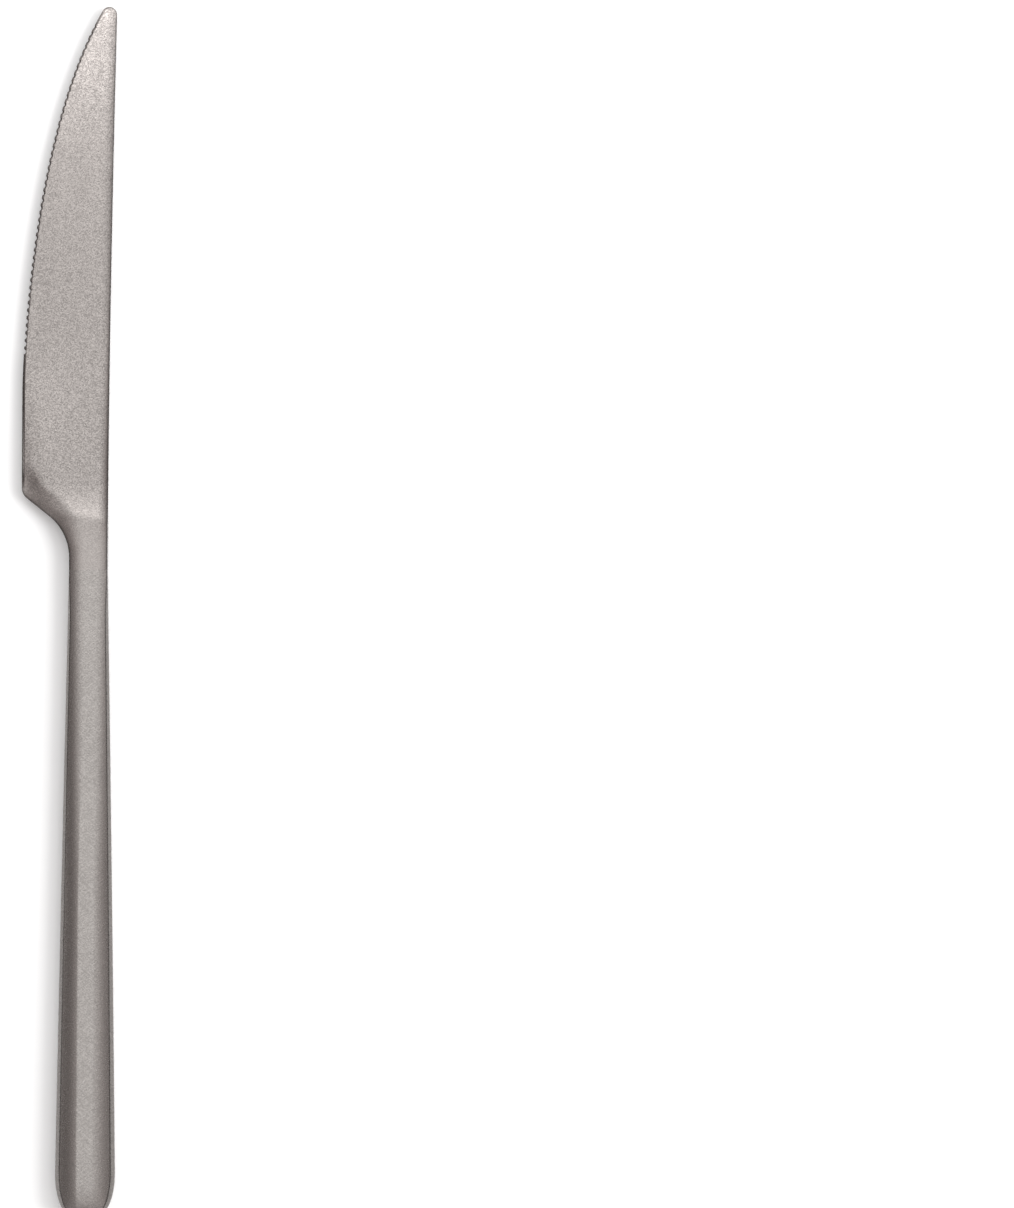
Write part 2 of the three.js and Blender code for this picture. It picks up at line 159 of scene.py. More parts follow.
CHAMFER_COLUMNS = 8
FLANK_COLUMNS = 19
FLANK_CROWDING = 1.5  # how much closer these are at a flank's foot
FACET_COLUMNS = 5
CORNER_ROWS = 32  # of the handle, at its butt and along the rest
HANDLE_ROWS = 60
SHARP = math.radians(40)  # corners sharper than this aren't shaded smooth
SAME_PLACE = 1e-7  # metres, within which points are joined
NO_LENGTH = 1e-8  # metres, of edges that are dissolved
TINY = 1e-9

# Painted shade along the outlines, darkening the steel's colour, from 0 for plain steel to 1
OUTLINE_PAINTED_SHADE = np.array([0.8, 0.8, 0.8, 0.32, 0])  # painted shade of the strip along the neck and spine, at its columns
BEVEL_PAINTED_SHADE = np.array([0.8, 0.8, 0.8, 0.64, 0])  # painted shade of the strip along the cutting edge
SPINE_PAINTED_SHADE = (1.6, 0.42)  # width of the soft band of painted shade along the upper spine, and how dark it is
SPINE_PAINTED_SHADE_START = (30, 60)  # from the joint to where that band begins and to where it is full
CHAMFER_PAINTED_SHADE = 0.65  # painted shade of the handle's chamfer
SHELL_PAINTED_SHADE = (0.06, 0.8)  # share of the flank above it that carries a painted dark line, and how dark
BRAZE_PAINTED_SHADE = (0.3, 0.1)  # from the neck's side to where the braze's painted dark ends begin and are full
PAINTED_SHADE_FACTOR = 0.25  # of the colour, where the painted shade has 1

# Steel
BLADE_COLOUR = (0.412, 0.379, 0.362)
HANDLE_COLOUR = (0.402, 0.376, 0.359)
BRAZE_COLOUR = (0.406, 0.377, 0.36)
ROUGHNESS = 0.3
BLADE_SHADES = (1, 0.89)  # of the colour, on the neck and on the ground face
PLAIN_SHADES = (1, 1)
BLADE_SPECKS = (0.3, 0.88)  # strengths of the grains, at the same places
HANDLE_SPECKS = (0.42, 0.42)
BRAZE_SPECKS = (0.4, 0.4)
GRAIN = 0.15  # size of the grains
CLOUDS = ((9, 9, 9), 0, 0.05)  # marks: size along X, Y and Z, turn about Z in degrees, and strength
SCRATCHES = [((3, 0.2, 0.5), turn, 0.15) for turn in (38, -42)]
NOISE_SPAN = (0.3, 0.7)  # between which the noise for the marks mostly lies
TONE_SWING = 0.4  # how far the tone of the finish strays from the colour, for marks of strength 1
ROUGHNESS_SWING = 0.12  # the same for its roughness
PIT = 0.3  # size and depth of its fine unevenness
PIT_DEPTH = 0.015

# Cement
CEMENT_COLOURS = ((0.2, 0.19, 0.15), (0.34, 0.32, 0.25))
CEMENT_ROUGHNESS = 0.9
CEMENT_GRAIN = 0.5  # size and depth of its grains
CEMENT_DEPTH = 0.1
CEMENT_BUMP = 0.6

# Table and room, in metres and degrees
TABLE_HALF = 20
PAPER = 0.88  # the table's whiteness
GLOW = 0.05  # what is added to it for the picture and for reflections
FAR_TABLE = (0.5, 1.5)  # from the knife, between which the table turns white to the camera
DIM = 0.17  # level of the walls beside the knife
WARM = (1.11, 0.97, 0.955)  # colour of those walls
WHITE = (1, 1, 1)
BRIGHT = 1  # level of the walls beyond the tip and the butt
WALL_SPREAD = (0.25, 0.65)  # of a direction's part along Y, where these walls begin and where they are full
WALL_TOP = (0.65, 0.3)  # of its part along Z, the same
# Where the bright ceiling begins and ends, from straight up, and its levels there: along X, then along Y.
CEILING_ACROSS = [((-66, -18), (0, 1)), ((31, 80), (1, 0))]
CEILING_ALONG = [((-70, 5), (0, 1)), ((-10, 40), (1, 2))]

# Lamps: place, the point that it faces and size, in metres, and power in watts
SIDE_LAMP = ((1.55, 0.1, 0.8), (0, 0.05, 0), (1.2, 1.7), 37)
UPPER_CARD = ((-0.02, 0.185, 0.1), (-0.02, 0.185, 0), (0.2, 0.08), 0.043)
TIP_CARD = ((-0.01, 0.22, 0.1), (0, 0.15, 0), (0.2, 0.08), 0.022)

# Camera
LENS = 200
SENSOR = 36
CLIP_END = 10  # metres
PIXEL = 0.17391  # millimetres of the knife for each pixel of the photograph
PHOTO_HEIGHT = 1208
PHOTO_MIDDLE = (72.81, -5.55, 0)  # of the drawn knife
PHOTO_TURN = math.radians(0.304)


# Shapes


def lerp(a, b, share):
    return a + (b - a) * share


def ease(value, start, end):
    """0 before start, 1 after end, and smooth in between."""
    share = np.clip((value - start) / (end - start), 0, 1)
    return share * share * (3 - 2 * share)


def flank_rise(share, bend):
    """Height of a flank, 0 at its foot and 1 at its top; bent fully, it is level there."""
    share = np.clip(share, 0, 1)
    return share * (1 + bend * (1 - share))


def soft_min(a, b, reach):
    """The smaller of two heights, with the corner between them rounded."""
    return np.minimum(a, b) - np.maximum(reach - np.abs(a - b), 0) ** 2 / (4 * reach)


def in_frame(points):
    """Points of the drawn knife, in millimetres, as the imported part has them, in metres."""
    x, y, z = (np.asarray(points, float) - REST_POINT).T
    cos, sin = math.cos(REST_TILT), math.sin(REST_TILT)
    return np.stack([x, cos * y - sin * z, sin * y + cos * z], 1) * MM


def bezier(points, count):
    """Points along a Bezier curve of any degree."""
    share = np.linspace(0, 1, count)[:, None]
    rows = [np.array(p, float) for p in points]
    while len(rows) > 1:
        rows = [lerp(a, b, share) for a, b in zip(rows, rows[1:])]
    return rows[0]


def arc(centre, radius, start, end, count):
    """Points along an arc between two angles."""
    angle = np.linspace(start, end, count)
    return np.stack([centre[0] + radius * np.cos(angle), centre[1] + radius * np.sin(angle)], 1)


def heel_line():
    """The neck's left side, its fillet, the slanted heel and the rounded corner where the edge begins."""
    neck_points, fillet_points, slant_points, corner_points = HEEL_POINTS
    turn = math.pi / 2 - HEEL_SLANT
    meet = HEEL_REACH - math.tan(HEEL_SLANT) * (EDGE_OFFSET - NECK_HALF)
    foot = meet - NECK_FILLET * math.tan(turn / 2)
    corner_centre = (HEEL_RADIUS - EDGE_OFFSET, HEEL_REACH + HEEL_RADIUS * math.tan(turn / 2))
    neck = bezier([(-NECK_HALF, 0), (-NECK_HALF, foot)], neck_points)
    fillet = arc((-NECK_HALF - NECK_FILLET, foot), NECK_FILLET, 0, turn, fillet_points)
    corner = arc(corner_centre, HEEL_RADIUS, math.pi + turn, math.pi, corner_points)
    slant = bezier([fillet[-1], corner[0]], slant_points)
    return np.concatenate([neck, fillet[1:], slant[1:], corner[1:]])


def edge_line():
    """The cutting edge: straight, then the belly, then the round of the tip."""
    straight_points, belly_points, tip_points = EDGE_POINTS
    along = np.array([math.sin(TIP_ANGLE), math.cos(TIP_ANGLE)])
    touch = TIP_CENTRE + TIP_RADIUS * np.array([-along[1], along[0]])
    pulls = [(-EDGE_OFFSET, BELLY_START + BELLY_PULL), touch - TIP_PULL * along]
    straight = bezier([HEEL_LINE[-1], (-EDGE_OFFSET, BELLY_START)], straight_points)
    belly = bezier([straight[-1], *pulls, touch], belly_points)
    tip = arc(TIP_CENTRE, TIP_RADIUS, math.pi - TIP_ANGLE, math.pi / 2, tip_points)
    return np.concatenate([straight, belly[1:], tip[1:]])


def spine_line():
    """The right side of the neck and the spine, from the joint to the top of the tip."""
    spine_points, tip_points = SPINE_POINTS
    spine = bezier([(NECK_HALF, 0), (NECK_HALF, SPINE_BEND), (TIP_X, TIP_CENTRE[1])], spine_points)
    tip = arc(TIP_CENTRE, TIP_RADIUS, 0, math.pi / 2, tip_points)
    return np.concatenate([spine, tip[1:]])


HEEL_LINE = heel_line()
EDGE_LINE = edge_line()
SPINE_LINE = spine_line()
LEFT_LINE = np.concatenate([HEEL_LINE, EDGE_LINE[1:]])


def lengths(line):
    """Distance along a line to each of its points."""
    return np.concatenate([[0], np.cumsum(np.linalg.norm(np.diff(line, axis=0), axis=1))])


def at_distance(line, places):
    """Points at given distances along a line."""
    far = lengths(line)
    limited = np.clip(places, 0, far[-1])
    return np.stack([np.interp(limited, far, line[:, 0]), np.interp(limited, far, line[:, 1])], 1)


def stations(line, places, side):
    """Points at distances along a line, and directions square to it, to the right for 1, left for -1."""
    reach = 0.05
    along = at_distance(line, places + reach) - at_distance(line, places - reach)
    along /= np.linalg.norm(along, axis=1)[:, None]
    return at_distance(line, places), side * np.stack([along[:, 1], -along[:, 0]], 1)


def beside(line, inward, depths):
    """Columns of points at given depths inward from the points of a line."""
    return line[:, None] + inward[:, None] * depths[..., None]


def distance(points, line):
    """Shortest distance from each point to a line of close points."""
    start, step = line[:-1], np.diff(line, axis=0)
    away = points[:, None] - start
    share = np.clip((away * step).sum(2) / (step * step).sum(1), 0, 1)
    return np.linalg.norm(away - share[..., None] * step, axis=2).min(1)


def grid_faces(grid):
    """Four-sided faces between the rows and columns of a grid of point numbers."""
    corners = np.stack([grid[:-1, :-1], grid[:-1, 1:], grid[1:, 1:], grid[1:, :-1]], 2)
    return [tuple(face) for face in corners.reshape(-1, 4)]


# Blade


def ground_half_thickness(y, to_edge, to_spine):
    """Half the thickness of the ground face, with its swell at the heel and its run-out to the neck."""
    across = to_edge / np.maximum(to_edge + to_spine, TINY)
    past_swell = ease(y, HEEL_REACH, SWELL_REACH)
    swelling = HEEL_SWELL * (1 - past_swell) * (flank_rise(to_edge / SWELL_WIDTH, 1) - across)
    face = lerp(lerp(*GRIND_HALF, past_swell), lerp(*SPINE_HALF, y / TIP_REACH), across) + swelling
    roll = TIP_ROLL[1] * np.clip((y - TIP_REACH) / TIP_ROLL[0] + 1, 0, 1) ** 2
    ground = lerp(EDGE_HALF, face, np.clip(to_edge / BEVEL, 0, 1) * (1 - roll))
    return ground + np.maximum(GRIND_REACH - y, 0) ** 2 / (2 * GRIND_RADIUS)


def forging_half_thickness(points):
    """Half the forging's thickness at points of its outline seen from above."""
    y = points[:, 1]
    to_heel, to_edge, to_spine = (distance(points, line) for line in (HEEL_LINE, EDGE_LINE, SPINE_LINE))
    ground = ground_half_thickness(y, to_edge, to_spine)
    body = soft_min(NECK_THICKNESS / 2 - TAPER * y, ground, RUN_OUT_BLEND)
    on_blade = ease(y, HEEL_START, HEEL_REACH)
    drop = lerp(NECK_DROP, lerp(*SPINE_DROP, y / TIP_REACH), on_blade)
    corner = lerp(NECK_FLANK, SPINE_CORNER, on_blade)
    right = flank_rise(to_spine / corner, lerp(FLANK_BEND[0], 1, on_blade))
    rolled = lerp(np.maximum(body - drop, EDGE_HALF), body, right)
    flank = lerp(NECK_FLANK, HEEL_FLANK, on_blade)
    left = flank_rise(to_heel / flank, lerp(FLANK_BEND[0], HEEL_BEND, on_blade))
    return lerp(lerp(SIDE_HALF[0], EDGE_HALF, on_blade), rolled, left)


def scallops(places):
    """How deep the serration cuts into the edge at distances along the left outline."""
    ends = np.interp([SERRATION_START, SERRATION_END], LEFT_LINE[:, 1], lengths(LEFT_LINE))
    count = round((ends[1] - ends[0]) / SERRATION_PITCH)
    share = np.linspace(0, 1, count)
    away = places[:, None] - lerp(*ends, share)
    sunk = SCALLOP_RADIUS - lerp(*SCALLOP_DEPTH, share)
    cut = np.sqrt(np.maximum(SCALLOP_RADIUS**2 - away**2, 0)) - sunk
    return np.maximum(cut.max(1), 0)


def blade_stations():
    """Distances along the left outline of the edge's points, and which of them start a row."""
    far = lengths(LEFT_LINE)
    fine, crossing, start = [0], [0], 0
    for end_y, spacing, split in BLADE_ZONES:
        end = np.interp(end_y, LEFT_LINE[:, 1], far)
        rows = round((end - start) / spacing)
        fine += list(np.linspace(start, end, rows * split + 1)[1:])
        crossing += [crossing[-1] + split * (row + 1) for row in range(rows)]
        start = end
    return np.array(fine), np.array(crossing)


def spine_stations(heights):
    """Distances along the spine whose strip's inner border passes given heights. The last one is the tip."""
    far = np.linspace(0, lengths(SPINE_LINE)[-1], SPINE_SAMPLES)
    spine, inward = stations(SPINE_LINE, far, -1)
    places = np.interp(heights, (spine + BEVEL * inward)[:, 1], far)
    places[-1] = far[-1]
    return places


def blade_plan(fine, crossing):
    """The blade from above: the strip along its edge, the same without scallops, and rows across."""
    edge, inward = stations(LEFT_LINE, fine, 1)
    plain = beside(edge, inward, BEVEL * STRIP_SHARES)
    left = beside(edge, inward, lerp(scallops(fine)[:, None], BEVEL, STRIP_SHARES))
    row_start = left[crossing, -1]
    spine, inward = stations(SPINE_LINE, spine_stations(row_start[:, 1]), -1)
    right = beside(spine, inward, BEVEL * STRIP_SHARES[::-1])
    right[-1] = left[-1, ::-1]  # both strips end on one line at the tip
    shares = (1 - np.cos(np.linspace(0, math.pi, FACE_COLUMNS))) / 2
    inner = lerp(row_start[:, None], right[:, :1], shares[None, 1:-1, None])
    return left, plain, np.concatenate([inner, right], 1)


def blade_painted_shade(fine, across):
    """Painted shade at each point of the strip along the edge and of the rows across the face, with a dark
    band along the upper spine.
    """
    on_edge = (fine > lengths(HEEL_LINE)[-1])[:, None]
    edge_painted_shade = np.where(on_edge, BEVEL_PAINTED_SHADE, OUTLINE_PAINTED_SHADE)
    face_painted_shade = np.zeros(across.shape[1])
    face_painted_shade[-len(OUTLINE_PAINTED_SHADE) :] = OUTLINE_PAINTED_SHADE[::-1]
    width, painted_darkness = SPINE_PAINTED_SHADE
    away = np.linalg.norm(across - across[:, -1:], axis=-1)
    painted_spine_band = painted_darkness * np.clip(1 - away / width, 0, 1) * ease(across[..., 1], *SPINE_PAINTED_SHADE_START)
    return np.concatenate([edge_painted_shade.ravel(), np.maximum(face_painted_shade, painted_spine_band).ravel()])


def upper_faces(strip, grid, crossing):
    """Faces of the blade's upper side, from the numbers of the points in its strip and rows."""
    faces = grid_faces(strip) + grid_faces(grid)
    for row, (first, last) in enumerate(zip(crossing, crossing[1:])):
        border = strip[first : last + 1, -1]
        faces.append((*border[::-1], grid[row, 0], grid[row + 1, 0]))
    return faces


def blade_mesh():
    """Points, faces and painted shade of the blade and neck, and the points round the neck's open end."""
    fine, crossing = blade_stations()
    left, plain, across = blade_plan(fine, crossing)
    flat, level = (np.concatenate([edge.reshape(-1, 2), across.reshape(-1, 2)]) for edge in (left, plain))
    height = np.concatenate([forging_half_thickness(part) for part in np.array_split(level, BATCHES)])
    points = np.concatenate([np.column_stack([flat, height]), np.column_stack([flat, -height])])

    strip = np.arange(left[..., 0].size).reshape(left.shape[:2])
    grid = strip.size + np.arange(across[..., 0].size).reshape(across.shape[:2])
    count = len(flat)
    upper = upper_faces(strip, grid, crossing)
    lower = [tuple(i + count for i in face[::-1]) for face in upper]
    sides = [np.stack([line, line + count], 1) for line in (strip[::-1, 0], grid[:, -1])]
    walls = grid_faces(sides[0]) + grid_faces(sides[1])
    ring = np.concatenate([strip[0], grid[0]])
    mouth = np.concatenate([ring, ring[::-1] + count])
    return points, upper + lower + walls, np.tile(blade_painted_shade(fine, across), 2), mouth


def tang_outline():
    """The tang's outline from its root on the left, round its end, to its root on the right."""
    side = [(-TANG_HALF[0], 0)]
    for place in NOTCH_PLACES:
        centre = (-lerp(*TANG_HALF, place), -place * TANG_LENGTH)
        side += list(arc(centre, NOTCH_RADIUS, math.pi / 2, -math.pi / 2, NOTCH_POINTS))
    side = np.array([*side, (-TANG_HALF[1], -TANG_LENGTH)])
    return np.concatenate([side, side[::-1] * (-1, 1)])


def add_tang(mesh, mouth):
    """Closes the neck's end with a shoulder and builds the tang on it."""
    outline = tang_outline()
    loops = []
    for z in (TANG_HALF_THICKNESS, -TANG_HALF_THICKNESS):
        points = in_frame(np.column_stack([outline, np.full(len(outline), z)]))
        loops.append([mesh.verts.new(p) for p in points])
    upper, lower = loops
    mesh.faces.new(upper)
    mesh.faces.new(lower[::-1])
    for i in range(len(outline) - 1):
        mesh.faces.new((upper[i + 1], upper[i], lower[i], lower[i + 1]))
    root = [upper[0], upper[-1], lower[-1], lower[0]]
    rims = list(zip(mouth, mouth[1:] + mouth[:1])) + list(zip(root, root[1:] + root[:1]))
    edges = [mesh.edges.get(pair) or mesh.edges.new(pair) for pair in rims]
    bmesh.ops.bridge_loops(mesh, edges=edges)


# Handle


def uncut_half_width(y):
    """Half the handle's width at y before the butt is rounded."""
    share = np.clip(-y / STRAIGHT_LENGTH, 0, 1)
    return lerp(NECK_HALF, BUTT_HALF, share) + 4 * HANDLE_SWELL * share * (1 - share)


def end_drop(away, size):
    """Drop of a rounded end of given length and drop, at a distance from it."""
    share = np.clip(1 - away / size[0], 0, 1)
    return size[1] * (1 - np.sqrt(1 - share * share))


def chamfered(flank, growth):
    """A flank's points, with the corner at its first one chamfered, and the upright side below them."""
    corner, start = flank[:2]
    drop = growth * min(CHAMFER_HEIGHT, (1 - LEAST_SIDE) * (corner[1] - SEAM_HALF))
    below = corner - (0, drop)
    dome = lerp((below + start) / 2, corner, CHAMFER_DOME)
    chamfer = bezier([below, dome, start], CHAMFER_COLUMNS + 1)[:-1]
    return np.vstack([[(corner[0], SEAM_HALF)], chamfer, flank[1:]])


def half_section(y, inset, shares):
    """The upper half of the handle's section at y, from the left outer edge to the right one."""
    share = np.clip(-y / FACET_REACH, 0, 1)
    full = uncut_half_width(y) - inset
    flat = lerp(*FACET_HALF, share)
    top = NECK_THICKNESS / 2 - TAPER * y - inset - end_drop(y + HANDLE_LENGTH, BUTT_DOME)
    foot = lerp(*SIDE_HALF, share) - inset / 2
    growth = lerp(LEAST_CHAMFER, 1, ease(-y, 0, CHAMFER_REACH))
    width = growth * lerp(*CHAMFER_WIDTH, np.clip(-y / STRAIGHT_LENGTH, 0, 1))
    corner = end_drop(y + HANDLE_LENGTH, BUTT_CORNER) / (full - flat)
    places = np.concatenate([[corner], lerp(corner + width / (full - flat), 1, shares)])
    height = lerp(foot, top, flank_rise(places, lerp(*FLANK_BEND, share)))
    flank = chamfered(np.column_stack([places * (full - flat) - full, height]), growth)
    middle = np.linspace(-flat, flat, FACET_COLUMNS + 2)[1:-1]
    x = np.concatenate([flank[:, 0], middle, -flank[::-1, 0]])
    z = np.concatenate([flank[:, 1], np.full(FACET_COLUMNS, top), flank[::-1, 1]])
    return np.column_stack([x, np.full(len(x), y), z])


def shell_skin(inset, shares):
    """Rows of points from the butt to the mouth over a pressed half's outside, or its inside at an inset."""
    angles = np.linspace(0, math.pi / 2, CORNER_ROWS + 1)[:-1]
    corner = inset - HANDLE_LENGTH + (BUTT_CORNER[0] - inset) * (1 - np.cos(angles))
    straight = np.linspace(-STRAIGHT_LENGTH, MOUTH, HANDLE_ROWS + 1)
    return np.array([half_section(y, inset, shares) for y in (*corner, *straight)])


def shell_painted_shade(shares):
    """Painted shade at each point of a row over a pressed half: its chamfer and a dark line at the flank's
    foot.
    """
    width, painted_darkness = SHELL_PAINTED_SHADE
    flank = painted_darkness * np.clip(2 - 2 * shares / width, 0, 1)
    side = np.concatenate([np.full(CHAMFER_COLUMNS + 1, CHAMFER_PAINTED_SHADE), flank])
    return np.concatenate([side, np.zeros(FACET_COLUMNS), side[::-1]])


def shell_mesh(turn):
    """Points, faces and painted shade of a pressed half with its wall, the upper one for 1, the lower for
    -1.
    """
    shares = np.linspace(0, 1, FLANK_COLUMNS) ** FLANK_CROWDING
    outside, inside = shell_skin(0, shares), shell_skin(WALL, shares)
    rows, columns = outside.shape[:2]
    points = np.concatenate([outside.reshape(-1, 3), inside.reshape(-1, 3)]) * (turn, 1, turn)
    outer = np.arange(rows * columns).reshape(rows, columns)
    inner = outer + rows * columns
    faces = grid_faces(outer) + grid_faces(inner[::-1])
    for a, b in ((outer[:, 0], inner[:, 0]), (inner[:, -1], outer[:, -1]), (outer[-1], inner[-1])):
        faces += grid_faces(np.stack([a, b], 1))
    faces += [tuple(outer[0, ::-1]), tuple(inner[0])]
    faces.append((outer[0, 0], inner[0, 0], inner[0, -1], outer[0, -1]))
    return points, faces, np.tile(shell_painted_shade(shares), 2 * rows)


# Materials


def node(tree, kind, inputs=None, **settings):
    """A shader node with its settings, and its inputs set to values or joined to other nodes' outputs."""
    made = tree.nodes.new(kind)
    for name, value in settings.items():
        setattr(made, name, value)
    for name, value in (inputs or {}).items():
        if isinstance(value, bpy.types.NodeSocket):
            tree.links.new(value, made.inputs[name])
        else:
            made.inputs[name].default_value = value
    return made


def sums(tree, operation, *values):
    """The sum, product or another combination of values, taken one after the other."""
    total = values[0]
    for value in values[1:]:
        total = node(tree, "ShaderNodeMath", {0: total, 1: value}, operation=operation).outputs[0]
    return total


def between(tree, value, start, end, low, high, smooth=False):
    """A value that goes from low to high as another one goes from start to end."""
    inputs = {"Value": value, "From Min": start, "From Max": end, "To Min": low, "To Max": high}
    kind = "SMOOTHSTEP" if smooth else "LINEAR"
    return node(tree, "ShaderNodeMapRange", inputs, interpolation_type=kind).outputs["Result"]


def mixed(tree, share, first, second):
    """A colour between two others."""
    made = tree.nodes.new("ShaderNodeMix")
    made.data_type = "RGBA"
    sockets = {socket.name: socket for socket in made.inputs if socket.enabled}
    tree.links.new(share, sockets["Factor"])
    sockets["A"].default_value = (*first, 1)
    sockets["B"].default_value = (*second, 1)
    return [socket for socket in made.outputs if socket.enabled][0]


def placed(tree, size, turn):
    """Places on a piece, for marks of a size in millimetres along X, Y and Z, turned about Z by degrees."""
    place = node(tree, "ShaderNodeTexCoord").outputs["Object"]
    turning = {"Vector": place, "Rotation": (0, 0, math.radians(turn))}
    turned = node(tree, "ShaderNodeMapping", turning, vector_type="TEXTURE").outputs["Vector"]
    scale = [1 / (s * MM) for s in size]
    return node(tree, "ShaderNodeMapping", {"Vector": turned, "Scale": scale}).outputs["Vector"]


def speckle(tree, size):
    """A random value from 0 to 1 for each small grain of the surface."""
    cells = node(tree, "ShaderNodeTexVoronoi", {"Vector": placed(tree, (size, size, size), 0), "Scale": 1})
    return node(tree, "ShaderNodeSeparateColor", {0: cells.outputs["Color"]}).outputs[0]


def noise(tree, size, turn=0):
    """Smooth noise whose marks have a size in millimetres along X, Y and Z and are turned by degrees."""
    inputs = {"Vector": placed(tree, size, turn), "Scale": 1, "Detail": 1}
    return node(tree, "ShaderNodeTexNoise", inputs).outputs["Fac"]


def new_material(name):
    """An empty material, its nodes and its shader."""
    material = bpy.data.materials.new(name)
    material.use_nodes = True
    return material, material.node_tree, material.node_tree.nodes["Principled BSDF"]


def roughen(tree, shader, height, strength, depth):
    """Gives a shader an uneven surface of a depth in millimetres."""
    bump = node(tree, "ShaderNodeBump", {"Height": height, "Strength": strength, "Distance": depth * MM})
    tree.links.new(bump.outputs["Normal"], shader.inputs["Normal"])


def braze_painted_shade(tree):
    """Painted shade on the braze at the neck, which shows as a line with dark ends."""
    place = node(tree, "ShaderNodeTexCoord").outputs["Object"]
    across = node(tree, "ShaderNodeSeparateXYZ", {0: place}).outputs[0]
    away = node(tree, "ShaderNodeMath", {0: across}, operation="ABSOLUTE").outputs[0]
    start, end = ((NECK_HALF - inset) * MM for inset in BRAZE_PAINTED_SHADE)
    return between(tree, away, start, end, 0, OUTLINE_PAINTED_SHADE[0])


def painted_outline_shade(tree):
    """The painted shade that a piece's points carry."""
    return node(tree, "ShaderNodeAttribute", attribute_name="painted_shade").outputs["Fac"]


def on_ground(tree):
    """0 on the neck and handle, 1 on the ground face of the blade."""
    place = node(tree, "ShaderNodeTexCoord").outputs["Object"]
    along = node(tree, "ShaderNodeSeparateXYZ", {0: place}).outputs[1]
    start, end = in_frame([(0, HEEL_START, 0), (0, GRIND_REACH, 0)])[:, 1]
    return between(tree, along, start, end, 0, 1)


def steel(name, colour, shades, specks, marks, painted_shade):
    """Satin steel with its shades, the strengths of its grains, its marks and painted shade along its
    outlines.
    """
    material, tree, shader = new_material(name)
    ground = on_ground(tree)
    grains = between(tree, speckle(tree, GRAIN), 0, 1, -1, 1)
    layers = [sums(tree, "MULTIPLY", grains, between(tree, ground, 0, 1, *specks))]
    for size, turn, strength in marks:
        layers.append(between(tree, noise(tree, size, turn), *NOISE_SPAN, -strength, strength))
    tone = sums(tree, "ADD", *layers)
    finish = between(tree, tone, -1, 1, 1 - TONE_SWING, 1 + TONE_SWING)
    # painted shade: the colour darkens towards the outlines
    outline = between(tree, painted_shade(tree), 0, 1, 1, PAINTED_SHADE_FACTOR)
    total = sums(tree, "MULTIPLY", finish, outline, between(tree, ground, 0, 1, *shades))
    base = node(tree, "ShaderNodeVectorMath", {0: colour, "Scale": total}, operation="SCALE")
    tree.links.new(base.outputs[0], shader.inputs["Base Color"])
    dull = between(tree, tone, -1, 1, ROUGHNESS + ROUGHNESS_SWING, ROUGHNESS - ROUGHNESS_SWING)
    tree.links.new(dull, shader.inputs["Roughness"])
    shader.inputs["Metallic"].default_value = 1
    roughen(tree, shader, noise(tree, (PIT, PIT, PIT)), 1, PIT_DEPTH)
    return material


def cement(name):
    """Hardened filler, matt and finely mottled."""
    material, tree, shader = new_material(name)
    grains = noise(tree, (CEMENT_GRAIN, CEMENT_GRAIN, CEMENT_GRAIN))
    tree.links.new(mixed(tree, grains, *CEMENT_COLOURS), shader.inputs["Base Color"])
    shader.inputs["Roughness"].default_value = CEMENT_ROUGHNESS
    roughen(tree, shader, grains, CEMENT_BUMP, CEMENT_DEPTH)
    return material


BLADE_STEEL = steel("blade_steel", BLADE_COLOUR, BLADE_SHADES, BLADE_SPECKS, [CLOUDS], painted_outline_shade)
HANDLE_MARKS = [CLOUDS, *SCRATCHES]
HANDLE_STEEL = steel("handle_steel", HANDLE_COLOUR, PLAIN_SHADES, HANDLE_SPECKS, HANDLE_MARKS, painted_outline_shade)
BRAZE = steel("braze_filler", BRAZE_COLOUR, PLAIN_SHADES, BRAZE_SPECKS, [CLOUDS], braze_painted_shade)
CEMENT = cement("handle_cement")


# Pieces


def piece(name, points, faces, painted_shade, mouth, material, cad_node, slot):
    """A piece that stands for a node of the solids, with the tang built on its mouth if it has one."""
    mesh = bmesh.new()
    # each point carries the painted shade that darkens its colour
    layer = mesh.verts.layers.float.new("painted_shade")
    corners = [mesh.verts.new(p) for p in in_frame(points)]
    for corner, value in zip(corners, painted_shade):
        corner[layer] = value
    for face in faces:
        mesh.faces.new([corners[i] for i in face])
    if mouth is not None:
        add_tang(mesh, [corners[i] for i in mouth])
    bmesh.ops.remove_doubles(mesh, verts=mesh.verts, dist=SAME_PLACE)
    bmesh.ops.dissolve_degenerate(mesh, edges=mesh.edges, dist=NO_LENGTH)
    bmesh.ops.recalc_face_normals(mesh, faces=mesh.faces)
    data = bpy.data.meshes.new(name)
    mesh.to_mesh(data)
    mesh.free()
    data.shade_smooth()
    data.set_sharp_from_angle(angle=SHARP)
    data.materials.append(material)
    made = bpy.data.objects.new(name, data)
    bpy.context.scene.collection.objects.link(made)
    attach(made, "root")
    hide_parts(cad_node)


def dress(name, material):
    """Gives a node of the solids, kept as it is, its material."""
    data = frame["nodes"][name].data
    data.materials.clear()
    data.materials.append(material)


piece("satin_blade", *blade_mesh(), BLADE_STEEL, "blade", "blade_steel")
piece("satin_shell_upper", *shell_mesh(1), None, HANDLE_STEEL, "handle_shell_upper", "handle_steel")
piece("satin_shell_lower", *shell_mesh(-1), None, HANDLE_STEEL, "handle_shell_lower", "handle_steel")
dress("seam_braze", BRAZE)
dress("neck_braze_ring", BRAZE)
dress("tang_cement", CEMENT)


# Stage, light and camera


